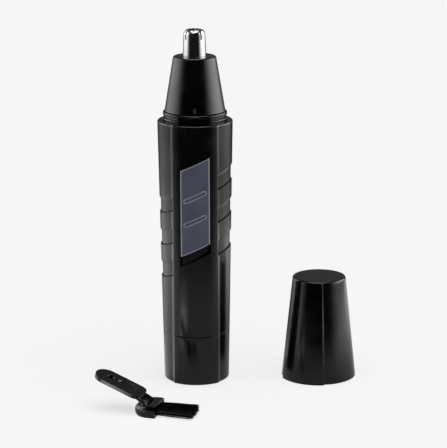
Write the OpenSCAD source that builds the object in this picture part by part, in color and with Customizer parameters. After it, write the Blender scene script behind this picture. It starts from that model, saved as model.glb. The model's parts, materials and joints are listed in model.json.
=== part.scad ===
// Battery nose hair trimmer with its protective cap and its cleaning brush.
// Millimetres. The origin is the centre of the flat underside of the base, +Z runs up the trimmer and
// the switch faces -Y. The cap stands beside the trimmer and the brush lies in front of it.

/* [Body] */
// Diameter of the body at its foot
foot_d = 23.65; // [23.4:0.05:23.9]
// Diameter of the body at its shoulder
shoulder_d = 27.05; // [26.8:0.05:27.3]
// Height of the shoulder
shoulder_z = 96; // [95.8:0.1:96.2]
// Height of the line where the base meets the housing
parting_z = 18.2; // [17.9:0.1:18.5]
// Wall of the housing and the base
wall = 1.6; // [1.5:0.05:1.65]
// How far the front panel stands proud of the round body
panel_proud = 0.8; // [0.5:0.1:1]
// Half the width of the front panel
panel_half = 8.3; // [7.5:0.1:8.5]

/* [Grip] */
// Slant of the grip bands and of the switch's ends, in degrees
slant = 24.5; // [20:0.5:28]
// Height of the lowest grip band's ledge on the centre line
grip_z = 44.3; // [43:0.1:46]
// Pitch of the grip bands
grip_pitch = 12.05; // [10:0.05:13]
// Number of grip bands
grip_count = 3; // [1:1:3]
// Height of each band
grip_h = 5.2; // [3:0.1:6]
// Depth of each band
grip_depth = 0.45; // [0.2:0.05:0.6]

/* [Switch] */
// Width of the sliding button
button_w = 10.4; // [9:0.1:11]
// Height of the button's lower end on the centre line
button_z = 50.7; // [50:0.1:52]
// Length of the button
button_h = 31.5; // [28:0.5:32]
// Travel of the button, downwards from rest
switch_travel = 3.4; // [2:0.1:3.5]

/* [Head] */
// Diameter of the cone at its foot
cone_foot_d = 21.8; // [21.4:0.1:22]
// Diameter of the cone at its top
cone_top_d = 15.3; // [14.8:0.1:15.8]
// Height of the cone's top face
cone_top_z = 119; // [118.6:0.1:119.4]
// Height of the steel guard's tip, which is the height of the trimmer
tip_z = 128.6; // [128.2:0.1:129]
// Diameter of the guard at its shoulder, below the rounded tip
guard_d = 7.75; // [7.6:0.05:7.9]
// Number of hair slots in the guard
slot_count = 8; // [6:1:10]

/* [Cap and brush] */
// Height of the protective cap
cap_h = 37.5; // [37:0.1:39]
// Diameter of the cap's closed end
cap_top_d = 19.3; // [18.8:0.1:20]
// Place of the cap beside the trimmer
cap_x = 44.9; // [30:0.5:60]
// Turn of the cap about its own axis, in degrees
cap_turn = -32.5; // [-90:0.5:90]
// Turn of the brush on the surface, in degrees
brush_turn = -15.4; // [-40:0.2:40]
// Rise of the brush handle, in degrees
brush_rise = 20.4; // [15:0.2:26]

/* [Hidden] */
$fn = 72;
eps = 0.01;
gap = 0.1;              // gap at a parting line
rise = tan(slant);      // height gained per millimetre across the front

// Cap place and brush place
cap_y = 1;
brush_origin = [-11.94, -43.3];
bristle_tip = 12.8;     // end of the bristles, along the brush
brush_front = -0.6;     // front face of the brush's head
brush_round = 6.1;      // radius of its round back
brush_round_x = -3.2;   // and the centre of that radius, along the brush
brush_head_h = 3.8;
neck_w = 7.4;           // width of the cranked neck between head and handle
handle_x = -6.85;       // near end of the handle's underside, along the brush
handle_z = 5.6;         // and its height
handle_l = 18.8;
handle_w = 9.8;
handle_t = 1.2;
handle_bend = -6;       // the handle points a little to one side, in degrees
hang_x = 13.2;          // place of the hanging hole along the handle
hang_r = 1.5;

// Cap
cap_wall = 1.3;
cap_fade = 0.25;        // how far the cap's panel still stands proud at the closed end

// Base
foot_round = 0.6;
base_wall_r = foot_d / 2 - 1.72;
base_floor = 1.8;
spigot_r = 10.4;
spigot_in = 9.5;
spigot_top = 22.3;

// Battery, the AA size
cell_r = 7.25;
cell_z = 7.6;
cell_h = 49.2;
cell_total = 50.5;

// Motor, the flat-sided 130 size, and its two leads
lead_r = 0.4;
bulkhead_z = 58.8;
bulkhead_t = 2;
bell_z = 62;
can_z = 65;
can_top = 86.5;
can_r = 10.05;
can_flat = 7.55;
shaft_r = 1;
bush_r = 1.03;
clamp_z = 88.2;
shaft_top = 92.5;

// Neck and head
lip_z = 94.5;
neck_r = 11;
neck_top = 99.2;
neck_bore = 9.6;
bead_r = 11.52;
cone_z = neck_top + gap;
step_z = 110.5;
spigot_wall_in = 8.1;
guard_foot_r = 4.17;
guard_t = 0.3;
tip_round = 2;
slot_w = 0.5;
slot_foot = 125.7;
holder_z = 100.2;
coupling_top = 96.2;
stem_flange_z = 99;

// ---------------------------------------------------------------- shared shapes

function lerp(a, b, t) = a + (b - a) * t;
function skin_r(z) = lerp(foot_d, shoulder_d, z / shoulder_z) / 2;
function cone_r(z) = lerp(cone_foot_d, cone_top_d, (z - cone_z) / (cone_top_z - cone_z)) / 2;
function arc(x, y, r, from, to, n = 6) =
    [for (i = [0:n]) let (a = lerp(from, to, i / n)) [x + r * cos(a), y + r * sin(a)]];

// The body's round skin from z0 to z1, grown by off, with its two edges rounded
module skin(z0, z1, off, low_round, high_round)
    rotate_extrude()
        polygon(concat(
            [[0, z0]],
            arc(skin_r(z0) + off - low_round, z0 + low_round, low_round, -90, 0),
            arc(skin_r(z1) + off - high_round, z1 - high_round, high_round, 0, 90),
            [[0, z1]]));

// The wedge of space in front of the body that the panel fills. Its side walls slope and lean with the skin
module panel_wedge(extra = 0) {
    lean = 1.3;
    depth = 9.15;
    slope = 0.45;
    near = panel_half + extra + (depth - 4) * slope;
    far = panel_half + extra + (depth - 18) * slope;
    rotate([lean, 0, 0])
        translate([0, 0, -10])
            linear_extrude(shoulder_z + 20)
                polygon([[-near, -4], [near, -4], [far, -18], [-far, -18]]);
}

module body_form(z0, z1, low_round, high_round) {
    skin(z0, z1, 0, low_round, high_round);
    intersection() {
        skin(z0, z1, panel_proud, low_round, high_round);
        panel_wedge();
    }
}

// A tube between two radii
module ring(r_in, r_out, z0, z1)
    translate([0, 0, z0])
        difference() {
            cylinder(r = r_out, h = z1 - z0);
            translate([0, 0, -1]) cylinder(r = r_in, h = z1 - z0 + 2);
        }

// A piece of a ring, centred on the -Y side and turned about Z
module ring_part(r_in, r_out, z0, z1, angle, turn)
    rotate([0, 0, turn - 90 - angle / 2])
        rotate_extrude(angle = angle)
            translate([r_in, z0]) square([r_out - r_in, z1 - z0]);

module box(x0, x1, y0, y1, z0, z1)
    translate([x0, y0, z0]) cube([x1 - x0, y1 - y0, z1 - z0]);

module torus(r, t, z)
    translate([0, 0, z]) rotate_extrude() translate([r, 0]) circle(r = t, $fn = 24);

// A tube swept along points; its ring of sides stays level with the path's own direction
function unit(v) = v / norm(v);
function along(p, i) = unit(p[min(i + 1, len(p) - 1)] - p[max(i - 1, 0)]);
function ring_at(p, i, r, sides, up) =
    let (t = along(p, i), a = unit(cross(up, t)), b = cross(t, a))
    [for (k = [0:sides - 1]) p[i] + r * (cos(360 * k / sides) * a + sin(360 * k / sides) * b)];
module sweep(p, r, sides = 8, up = [0, 0, 1]) {
    n = len(p);
    points = [for (i = [0:n - 1]) each ring_at(p, i, r, sides, up)];
    walls = [for (i = [0:n - 2], k = [0:sides - 1])
        let (a = i * sides + k, b = i * sides + (k + 1) % sides, c = b + sides, d = a + sides)
        each [[a, b, c], [a, c, d]]];
    polyhedron(points, concat(
        [[for (k = [sides - 1:-1:0]) k]], walls,
        [[for (k = [0:sides - 1]) (n - 1) * sides + k]]));
}

// A compression spring between two heights, from radius r0 to r1
module spring(r0, r1, z0, z1, wire, turns) {
    steps = round(turns * 20);
    sweep([for (i = [0:steps]) let (t = i / steps, r = lerp(r0, r1, t))
        [r * cos(360 * turns * t), r * sin(360 * turns * t), lerp(z0 + wire, z1 - wire, t)]],
        wire, 8, [0, 0, 1]);
}

// The slanted space between two heights on the centre line
module slanted_slab(z0, z1)
    translate([0, 0, z0])
        rotate([0, -slant, 0])
            translate([-30, -30, 0]) cube([60, 60, (z1 - z0) * cos(slant)]);

// A prism seen from the front as a parallelogram with slanted ends
module slanted_plate(w, z0, z1)
    rotate([90, 0, 0])
        linear_extrude(20)
            polygon([
                [-w / 2, z0 - w / 2 * rise], [w / 2, z0 + w / 2 * rise],
                [w / 2, z1 + w / 2 * rise], [-w / 2, z1 - w / 2 * rise]]);

// ---------------------------------------------------------------- base

module base_shell() color("#202022") {
    difference() {
        union() {
            body_form(0, parting_z - gap / 2, foot_round, 0.2);
            ring(spigot_in, spigot_r, 14, spigot_top);
            for (turn = [60:120:300]) ring_part(spigot_r - eps, 11, 20.6, 22, 20, turn);
        }
        translate([0, 0, base_floor]) cylinder(r = base_wall_r, h = 12.5);
        translate([0, 0, 10]) cylinder(r = spigot_in, h = 20);
        ring(9.95, 12, 18.8, 19.8);
    }
}

module base_seal() color("#101010") torus(10.24, 0.28, 19.3);

module contact_carrier() color("#2a2a2c") {
    difference() {
        union() {
            translate([0, 0, base_floor]) cylinder(r = 9.3, h = 2.2);
            ring(7.5, 8.7, base_floor + 2.2 - eps, 12);
            for (side = [-1, 1])
                translate([side * 8.2, 0, 0]) box(-0.6, 0.6, -1.5, 1.5, 11, 27);
        }
        box(-1.6, 1.6, -9.5, -7.4, base_floor + 2.2, 14);
    }
}

module negative_contact() color("#c9c6bb") {
    translate([0, 0, base_floor + 2.2]) cylinder(r = 6.5, h = 0.3);
    box(-1.2, 1.2, -9.15, -6, base_floor + 2.2, base_floor + 2.5);
    box(-1.2, 1.2, -9.15, -8.85, base_floor + 2.2, 27);
}

module battery_spring() color("#d4d2ca") spring(5.4, 3, 4.3, cell_z, 0.35, 3.5);

// ---------------------------------------------------------------- battery

module battery_can() color("#b9bbc0")
    translate([0, 0, cell_z]) cylinder(r = cell_r - 0.15, h = cell_h - 0.2);

module battery_sleeve() color("#5d6f7d") ring(cell_r - 0.15, cell_r, cell_z + 0.4, cell_z + cell_h - 0.2);

module battery_washer() color("#e6e6e2")
    ring(3, cell_r - 0.6, cell_z + cell_h - 0.2, cell_z + cell_h);

module battery_cap() color("#c8cace") {
    translate([0, 0, cell_z + cell_h - 0.2]) cylinder(r = 3, h = 0.3);
    translate([0, 0, cell_z + cell_h]) cylinder(r = 2.75, h = cell_total - cell_h);
}

// ---------------------------------------------------------------- housing and frame

module housing_bore()
    rotate_extrude()
        polygon([
            [0, 10], [skin_r(10) - wall, 10],
            [skin_r(lip_z) - wall, lip_z], [0, lip_z]]);

module grip_bands()
    difference() {
        intersection() {
            union() for (i = [0:grip_count - 1])
                slanted_slab(grip_z + i * grip_pitch, grip_z + i * grip_pitch + grip_h);
            difference() {
                skin(25, 90, 3, 0, 0);
                skin(24, 91, -grip_depth, 0, 0);
            }
        }
        panel_wedge(0.3);
    }

module housing() color("#202022")
    difference() {
        body_form(parting_z + gap / 2, shoulder_z, 0.2, 0.55);
        housing_bore();
        translate([0, 0, lip_z - 1]) cylinder(r = neck_r + 0.15, h = 5);
        grip_bands();
        difference() {
            slanted_plate(button_w + 0.5, button_z - switch_travel - 0.2, button_z + button_h + 0.2);
            skin(20, 95, -0.4, 0, 0);
        }
        box(-2.1, 2.1, -20, -5, 69 - switch_travel - 0.3, 74.3);
        for (turn = [60:120:300]) ring_part(8, 11.1, 17, 22.4, 52, turn - 15);
    }

module neck_collar() color("#1b1b1d") {
    difference() {
        union() {
            translate([0, 0, 91.2]) cylinder(r = 11.75, h = lip_z - 91.2);
            translate([0, 0, 91.2]) cylinder(r = neck_r, h = neck_top - 91.2 - 0.3);
            rotate_extrude() polygon(concat(
                [[neck_r - 0.5, 96.3]], arc(11.2, 96.75, 0.4, -60, 60), [[neck_r - 0.5, 97.2]]));
            rotate_extrude() polygon(concat(
                [[neck_r - 1, 97.9]], arc(bead_r - 0.3, 98.2, 0.3, -90, 0),
                arc(bead_r - 0.4, neck_top - 0.4, 0.4, 0, 90), [[neck_r - 1, neck_top]]));
            intersection() {
                ring_part(neck_r - 1, 12.15, shoulder_z + 0.15, 98.5, 64, 0);
                box(-7, 7, -11.85, 0, 95, 99);
            }
            box(-1.35, 1.35, -11.75, -11, 98.5, 99.1);
        }
        translate([0, 0, 92.4]) cylinder(r = neck_bore, h = 10);
        translate([0, 0, 90]) cylinder(r = 3.6, h = 5);
        for (side = [-1, 1]) translate([side * 7.35, 0, 0]) box(-0.7, 0.7, -1.4, 1.4, 90, 93);
        for (turn = [0:120:240]) ring_part(8, 10.35, 92.4, 100, 52, turn + 195);
    }
}

module chassis() color("#3a3a3d") {
    difference() {
        union() {
            ring(7.5, 8.5, 24, bulkhead_z);
            for (turn = [45:90:315]) rotate([0, 0, turn]) box(-0.6, 0.6, 8.3, 10.3, 24, bulkhead_z);
            translate([0, 0, bulkhead_z]) cylinder(r = 10.9, h = bulkhead_t);
            for (side = [-1, 1])
                ring_part(10.25, 11.15, bulkhead_z + bulkhead_t - eps, clamp_z, 56, side * 90);
            for (side = [-1, 1]) translate([side * 4, 9, bulkhead_z]) cylinder(r = 1.15, h = clamp_z - bulkhead_z);
            box(-4.5, 4.5, -8.5, -7.9, bulkhead_z, 80);
        }
        for (side = [-1, 1]) translate([side * 8, 0, 0]) box(-1.2, 1.2, -1.8, 1.8, 20, 28);
        box(-5, 5, -12, -8.5, 50, 90);
        translate([0, 0, 50]) cylinder(r = 2.2, h = 15);
        box(-1.2, 2.8, 7.2, 10.2, 57, 64);
        for (side = [-1, 1]) translate([side * 4, 9, 80]) cylinder(r = 0.7, h = 20);
    }
}

module negative_rail() color("#c9c6bb") {
    box(-1.2, 1.2, -8.8, -8.5, 24.5, 64);
    box(-2.4, 2.4, -8.8, -8.5, 64 - eps, 67.5);
}

module positive_contact() color("#c9c6bb") {
    translate([0, 0, cell_z + cell_total]) cylinder(r = 2.4, h = 0.4);
    translate([0, 0, bulkhead_z - 0.4]) cylinder(r = 4.5, h = 0.4);
    box(-1, 1, 0, 7.4, bulkhead_z - 0.4, bulkhead_z);
    translate([0, 0, bulkhead_z - eps]) cylinder(r = 2.2, h = 1.6);
}

module switch_contact() color("#c98f4e") {
    box(-2.4, 2.4, -8.8, -8.5, 69.5, 73.6);
    box(2.3, 5.2, -8.8, -8.5, 71, 72.6);
}

module lead_positive() color("#a02020")
    sweep([[0, 6.4, 57.95], [0.1, 7.4, 57.95], [0.3, 8.4, 58.1], [0.7, 9.2, 58.7], [1.1, 9.45, 59.6],
        [1.4, 9.4, 60.6], [1.5, 9, 61.3], [1.6, 8.3, 61.7]], lead_r, 8, [1, 0, 0]);

module lead_negative() color("#18181a")
    sweep([[4.7, -9.22, 72.4], [4.8, -9.25, 71], [5, -9.25, 69.5], [5.4, -9.1, 67.5], [5.9, -8.9, 65.4],
        [6.2, -8.75, 63.6], [6.2, -8.6, 62.4], [6, -8.1, 61.6], [5.5, -7, 61.3], [4.8, -5, 61.3],
        [3.8, -2, 61.3], [2.4, 1.5, 61.3], [0.6, 4.6, 61.3], [-0.8, 6.4, 61.3], [-1.5, 7.4, 61.4], [-1.6, 8.3, 61.7]],
        lead_r, 8, [1, 0, 0]);

// ---------------------------------------------------------------- motor

module flat_round(r, flat, z0, z1)
    intersection() {
        translate([0, 0, z0]) cylinder(r = r, h = z1 - z0);
        box(-r - 1, r + 1, -flat, flat, z0 - 1, z1 + 1);
    }

module motor_can() color("#b4b6ba")
    difference() {
        union() {
            flat_round(can_r, can_flat, can_z, can_top);
            translate([0, 0, can_top - eps]) cylinder(r = 3.3, h = 1.5);
        }
        flat_round(can_r - 0.5, can_flat - 0.5, can_z - 1, can_top - 0.6);
        translate([0, 0, 80]) cylinder(r = 2.8, h = 20);
    }

module motor_magnets() color("#35353a")
    for (side = [-1, 1])
        intersection() {
            ring_part(7.1, can_r - 0.5, 68, 84, 70, side * 90);
            box(-12, 12, -5.6, 5.6, 60, 90);
        }

module motor_end_bell() color("#e8e6df")
    difference() {
        flat_round(can_r, can_flat, bell_z, can_z);
        translate([0, 0, bell_z + 1.9]) cylinder(r = 6.6, h = 5);
        translate([0, 0, bell_z - 1]) cylinder(r = 2.6, h = 5);
    }

module motor_bushes() color("#b0803c") {
    ring(bush_r, 2.6, bell_z + 0.1, bell_z + 1.9);
    ring(bush_r, 2.8, can_top - 0.6, can_top + 1.5 - eps);
}

module motor_brushes() color("#c98f4e")
    for (side = [-1, 1]) box(-5.6, 5.6, side * 2.12 - 0.09, side * 2.12 + 0.09, 65.2, 66.3);

module motor_terminals() color("#c98f4e")
    for (side = [-1, 1]) box(side * 1.6 - 0.8, side * 1.6 + 0.8, can_flat, 9.4, 62.15, 62.6);

module motor_clamp() color("#3a3a3d")
    difference() {
        union() {
            translate([0, 0, clamp_z]) cylinder(r = 11.5, h = 1.8);
            for (side = [-1, 1]) ring_part(5, 9.5, can_top, clamp_z + eps, 40, side * 90);
        }
        translate([0, 0, 80]) cylinder(r = 3.5, h = 20);
        for (side = [-1, 1]) translate([side * 4, 9, 80]) cylinder(r = 0.8, h = 20);
    }

module clamp_screws() color("#9a9ca2")
    for (side = [-1, 1])
        translate([side * 4, 9, 0])
            difference() {
                union() {
                    translate([0, 0, 82]) cylinder(r = 0.7, h = 8.5);
                    translate([0, 0, 90]) cylinder(r = 1.3, h = 0.9);
                }
                box(-0.9, 0.9, -0.15, 0.15, 90.5, 92);
                box(-0.15, 0.15, -0.9, 0.9, 90.5, 92);
            }

module motor_shaft() color("#c4c6cb")
    translate([0, 0, bell_z + 0.2]) cylinder(r = shaft_r, h = shaft_top - bell_z - 0.2);

module armature_core() color("#6f7278") {
    ring(shaft_r, 2.4, 70, 81);
    for (turn = [0:120:240])
        rotate([0, 0, turn]) {
            box(2.2, 5.6, -0.9, 0.9, 70, 81);
            ring_part(5.4, 6.6, 70, 81, 96, 90);
        }
}

module armature_coils() color("#b5602c")
    for (turn = [0:120:240])
        rotate([0, 0, turn])
            difference() {
                box(2.7, 4.9, -2.1, 2.1, 68.8, 82.2);
                box(2, 6, -0.9, 0.9, 70, 81);
            }

module commutator() color("#b97844")
    difference() {
        translate([0, 0, 64.2]) cylinder(r = 1.95, h = 3.4);
        translate([0, 0, 60]) cylinder(r = shaft_r, h = 10);
        for (turn = [0:120:240]) rotate([0, 0, turn]) box(1.5, 3, -0.1, 0.1, 64, 67);
    }

module drive_coupling() color("#e8e6df")
    difference() {
        translate([0, 0, 90.6]) cylinder(r = 3, h = coupling_top - 90.6);
        translate([0, 0, 88]) cylinder(r = shaft_r, h = 10);
        box(-1.35, 1.35, -1.35, 1.35, shaft_top, 100);
    }

// ---------------------------------------------------------------- switch

module button_rib(z)
    intersection() {
        rotate([90, 0, 0])
            translate([0, z, 13.2])
                rotate([0, 0, slant])
                    linear_extrude(8)
                        polygon(concat(arc(3.5, 0, 0.75, -90, 90, 8), arc(-3.5, 0, 0.75, 90, 270, 8)));
        skin(25, 95, panel_proud + 0.55, 0, 0);
    }

module switch_button() color("#4a4d5c") {
    difference() {
        intersection() {
            slanted_plate(button_w, button_z, button_z + button_h);
            skin(25, 95, panel_proud + 0.25, 0, 0);
        }
        skin(24, 96, -0.35, 0, 0);
    }
    button_rib(button_z + 11);
    button_rib(button_z + 19.75);
    box(-1.6, 1.6, -13, -10.55, 69, 74);
}

module switch_slider() color("#55585f") box(-3.9, 3.9, -10.55, -9.35, 68.6, 74.6);

module switch_wiper() color("#c98f4e") {
    box(-2, 2, -9.35, -9.15, 69.4, 73.8);
    box(-2, 2, -9.15 - eps, -8.9, 69.8, 70.4);
    box(-2, 2, -9.15 - eps, -8.9, 73, 73.5);
}

// ---------------------------------------------------------------- cutter and head

// The cutter guard's form, shrunk by off
module guard_form(z0, off)
    rotate_extrude()
        polygon(concat(
            [[0, z0], [guard_foot_r - off, z0], [guard_foot_r - off, cone_top_z]],
            arc(guard_d / 2 - tip_round, tip_z - tip_round, tip_round - off, 0, 90, 8),
            [[0, tip_z - off]]));

module cutter_guard() color("#d6d8dc") {
    difference() {
        guard_form(110.1, 0);
        guard_form(109, guard_t);
        for (i = [0:slot_count - 1])
            rotate([0, 0, i * 360 / slot_count - 96])
                box(1.1, 6, -slot_w / 2, slot_w / 2, slot_foot, tip_z + 1);
    }
    ring(guard_foot_r - guard_t, 5.8, 110.1, 110.4);
}

module cutter_blade() color("#c0c3c9")
    intersection() {
        difference() {
            guard_form(111, guard_t + 0.12);
            guard_form(110, guard_t + 0.62);
        }
        union() {
            box(-1.1, 1.1, -5, 5, 119.6, 129);
            box(-5, 5, -1.1, 1.1, 119.6, 129);
            translate([0, 0, 119.6]) cylinder(r = 5, h = 1.6);
        }
    }

module cutter_stem() color("#e8e6df") {
    box(-1.2, 1.2, -1.2, 1.2, 93.8, stem_flange_z + eps);
    translate([0, 0, stem_flange_z]) cylinder(r = 2.9, h = 0.8);
    translate([0, 0, stem_flange_z]) cylinder(r = 1.8, h = 21);
    intersection() {
        guard_form(110, guard_t + 0.62);
        box(-5, 5, -5, 5, 118.6, 121.2);
    }
}

module cutter_spring() color("#d4d2ca") spring(2.35, 2.35, coupling_top, stem_flange_z, 0.2, 3);

module guard_holder() color("#2e2e30") {
    difference() {
        rotate_extrude()
            polygon([
                [4.4, holder_z], [cone_r(holder_z) - 1.45, holder_z],
                [cone_r(110.1) - 1.45, 110.1], [4.4, 110.1]]);
        translate([0, 0, 99]) cylinder(r = 6, h = 4);
    }
    for (side = [-1, 1]) translate([side * 7.35, 0, 0]) box(-0.5, 0.5, -1.2, 1.2, 91.6, holder_z + eps);
}

module head_cone() color("#202022")
    difference() {
        union() {
            rotate_extrude()
                polygon(concat(
                    [[0, cone_z]], arc(cone_foot_d / 2 - 0.2, cone_z + 0.2, 0.2, -90, 0, 3),
                    arc(cone_top_d / 2 - 0.75, cone_top_z - 0.8, 0.8, 9, 90), [[0, cone_top_z]]));
            ring(spigot_wall_in, 9.4, 94.6, cone_z + eps);
            for (turn = [0:120:240]) ring_part(9.4 - eps, 10.2, 95, 96.4, 20, turn + 180);
            intersection() {
                box(-0.45, 0.45, -12, -9, cone_z + 0.35, cone_z + 2.8);
                rotate_extrude() polygon([[0, cone_z], [cone_r(cone_z) + 0.3, cone_z], [cone_r(103) + 0.3, 103], [0, 103]]);
            }
        }
        rotate_extrude()
            polygon([
                [0, 90], [spigot_wall_in, 90], [spigot_wall_in, 100.1], [cone_r(100.1) - 1.3, 100.1],
                [cone_r(step_z) - 1.3, step_z], [0, step_z]]);
        translate([0, 0, 100]) cylinder(r = guard_foot_r + 0.08, h = 30);
        ring(8.85, 11, 97.6, 98.6);
    }

module head_seal() color("#101010") torus(9.22, 0.34, 98.1);

// ---------------------------------------------------------------- cap and brush

function cap_r(z) = lerp(shoulder_d, cap_top_d, z / cap_h) / 2;

module cap_form(foot_off, top_off, round_top)
    rotate_extrude()
        polygon(concat(
            [[0, 0], [cap_r(0) + foot_off, 0]],
            arc(cap_r(cap_h) + top_off - round_top, cap_h - round_top, round_top, 6, 90),
            [[0, cap_h]]));

// The wedge that the cap's panel fills: its sides draw in towards the closed end
module cap_wedge() {
    draw_in = 4.1;
    lean = -6;
    rotate([lean, 0, 0])
        difference() {
            box(-15, 15, -20, -5.5, -10, 50);
            for (side = [-1, 1])
                translate([side * 8.2, -10.9, 0])
                    rotate([0, -side * draw_in, side * 25])
                        translate([side > 0 ? 0 : -20, -20, -20]) cube([20, 40, 80]);
        }
}

module protective_cap() color("#161617")
    translate([cap_x, cap_y, 0])
        rotate([0, 0, cap_turn])
            difference() {
                union() {
                    cap_form(0, 0, 0.6);
                    intersection() {
                        cap_form(panel_proud, cap_fade, 0.6);
                        cap_wedge();
                    }
                }
                rotate_extrude()
                    polygon([
                        [0, -1], [11.75, -1], [11.75, 3.2], [cap_r(4) - cap_wall, 4],
                        [cap_r(cap_h - 1.5) - cap_wall, cap_h - 1.5], [0, cap_h - 1.5]]);
                ring_part(8, 12.45, -1, 3, 70, 0);
            }

// Outline of the flat handle in its own plane: x along the handle from its near end, y across
function handle_outline(l, w, corner) =
    concat(
        arc(corner, w / 2 - corner, corner, 180, 90, 6),
        arc(l - w / 2, 0, w / 2, 90, -90, 16),
        arc(corner, corner - w / 2, corner, 270, 180, 6));

module on_brush()
    translate([brush_origin[0], brush_origin[1], 0]) rotate([0, 0, brush_turn]) children();

// The handle's own frame: x runs up the handle, away from the head
module on_handle()
    on_brush()
        translate([handle_x, 0, handle_z])
            rotate([0, 0, 180 + handle_bend])
                rotate([0, -brush_rise, 0])
                    children();

module brush_handle() color("#141415")
    difference() {
        union() {
            on_brush()
                linear_extrude(brush_head_h)
                    polygon(concat(
                        [[brush_front, brush_round]],
                        arc(brush_round_x, 0, brush_round, 90, 270, 20),
                        [[brush_front, -brush_round]]));
            on_brush()
                rotate([90, 0, 0])
                    translate([0, 0, -neck_w / 2])
                        linear_extrude(neck_w)
                            polygon([
                                [-3.5, 3.7], [-4.6, 4.2], [-5.4, 5], [-6.2, 5.9], [-7.2, 6.55], [-8.6, 6.9],
                                [-8.8, 6.5], [-7.6, 5.6], [-7, 4.9], [-6.8, 3.6], [-6.4, 2.4], [-3.5, 2.4]]);
            on_handle() linear_extrude(handle_t) polygon(handle_outline(handle_l, handle_w, 2.6));
        }
        on_handle()
            translate([0, 0, handle_t - 0.35])
                linear_extrude(5)
                    polygon(concat(arc(5.2, 0, 1.8, 90, 270), arc(8.2, 0, 1.8, -90, 90)));
        on_handle() translate([hang_x, 0, -5]) cylinder(r = hang_r, h = 20);
        on_brush() box(brush_front - 3, 5, -4.4, 4.4, 0.5, 3.1);
    }

// The tuft: closed and slightly spread towards its tips
module brush_bristles() color("#0e0e0f")
    on_brush()
        hull() {
            box(brush_front - 2.9, brush_front + 0.1, -4.1, 4.1, 0.7, 2.9);
            box(bristle_tip - 0.2, bristle_tip, -4.9, 4.9, 0.25, 3.1);
        }

base_shell();
base_seal();
contact_carrier();
negative_contact();
battery_spring();
battery_can();
battery_sleeve();
battery_washer();
battery_cap();
housing();
neck_collar();
chassis();
negative_rail();
positive_contact();
switch_contact();
lead_positive();
lead_negative();
motor_can();
motor_magnets();
motor_end_bell();
motor_bushes();
motor_brushes();
motor_terminals();
motor_clamp();
clamp_screws();
switch_button();
switch_slider();
switch_wiper();
motor_shaft();
armature_core();
armature_coils();
commutator();
drive_coupling();
cutter_spring();
cutter_stem();
cutter_blade();
guard_holder();
cutter_guard();
head_cone();
head_seal();
protective_cap();
brush_handle();
brush_bristles();
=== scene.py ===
"""Looks of the nose hair trimmer, its cap, its cleaning brush and its insides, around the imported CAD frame.

Shapes are worked out in millimetres and made in metres. +Z is up the trimmer and its front faces -Y.
Angles round the trimmer are measured from the front, positive towards +X.
"""
import json
import math
import random

import bmesh
import bpy
from mathutils import Matrix, Vector


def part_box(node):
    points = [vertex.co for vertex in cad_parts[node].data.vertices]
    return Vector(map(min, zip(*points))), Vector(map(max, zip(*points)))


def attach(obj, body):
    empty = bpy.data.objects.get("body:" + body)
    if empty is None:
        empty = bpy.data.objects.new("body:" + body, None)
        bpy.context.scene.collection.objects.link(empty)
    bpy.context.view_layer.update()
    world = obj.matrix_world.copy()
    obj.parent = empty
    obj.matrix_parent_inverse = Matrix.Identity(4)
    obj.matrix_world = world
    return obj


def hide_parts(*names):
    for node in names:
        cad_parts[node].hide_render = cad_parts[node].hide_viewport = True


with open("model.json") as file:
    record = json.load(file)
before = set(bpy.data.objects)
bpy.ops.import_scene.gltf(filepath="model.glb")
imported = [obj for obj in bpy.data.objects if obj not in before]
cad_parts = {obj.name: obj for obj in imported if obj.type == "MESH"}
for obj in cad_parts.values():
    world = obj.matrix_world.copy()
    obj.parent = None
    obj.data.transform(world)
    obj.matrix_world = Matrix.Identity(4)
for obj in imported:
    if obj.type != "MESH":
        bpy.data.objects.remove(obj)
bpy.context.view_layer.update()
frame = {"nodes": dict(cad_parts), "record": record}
NODES = frame["nodes"]
MM = 0.001


def node_box(name):
    """Lowest and highest corner of a CAD node, in millimetres."""
    low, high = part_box(name)
    return low / MM, high / MM


# ------------------------------------------------------------------ driving dimensions

HOUSE_LOW, HOUSE_HIGH = node_box("housing")
CONE_HIGH = node_box("head_cone")[1]
GUARD_LOW, GUARD_HIGH = node_box("cutter_guard")
COLLAR_HIGH = node_box("neck_collar")[1]
BUTTON_LOW, BUTTON_HIGH = node_box("switch_button")
CAP_HIGH = node_box("protective_cap")[1]

PARTING_Z = HOUSE_LOW.z - 0.05          # line between the base and the housing
SHOULDER_Z = HOUSE_HIGH.z
SHOULDER_R = HOUSE_HIGH.y               # the round back of the housing at its shoulder
SKIN_SLOPE = 0.0177                     # radius gained per millimetre of height
WALL = 1.6
PANEL_PROUD = 0.8
PANEL_EDGE = 7.95                       # half the width of the front panel at its proud edge
PANEL_FOOT = 8.62                       # and where its bevel meets the round body
SLANT = math.tan(math.radians(24.5))    # rise of the grip bands and button ends across the front

CONE_FOOT_Z = COLLAR_HIGH.z + 0.1
CONE_TOP_R = 7.65
BUTTON_HALF = BUTTON_HIGH.x
BUTTON_Z = BUTTON_LOW.z + BUTTON_HALF * SLANT      # heights on the centre line
BUTTON_TOP = BUTTON_HIGH.z - BUTTON_HALF * SLANT
TRAVEL = 3.4                            # of the button, downwards
STEM_LOW, STEM_HIGH = 69, 74            # the button's stem at rest
GRIP_LEDGES = [44.3 + 12.05 * i for i in range(3)]      # heights of the ledges on the centre line
GRIP_HEIGHT = 5.2                       # of the sunk band above each ledge
GRIP_DEPTH = 0.45
CREASE_DEPTH, CREASE_WIDTH = 0.3, 0.36  # of the fine crease just above each ledge


def skin_r(z):
    """Radius of the round body at a height."""
    return SHOULDER_R - (SHOULDER_Z - z) * SKIN_SLOPE


def smooth(t):
    """Smooth step from 0 to 1."""
    t = min(1.0, max(0.0, t))
    return t * t * (3 - 2 * t)


def ramp(value, low, high):
    """Smooth step from 0 at low to 1 at high."""
    return smooth((value - low) / (high - low))


def soft_min(a, b, k):
    """The smaller of two values, with a rounded corner of width k where they cross."""
    h = max(k - abs(a - b), 0.0) / k
    return min(a, b) - h * h * k / 4


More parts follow.
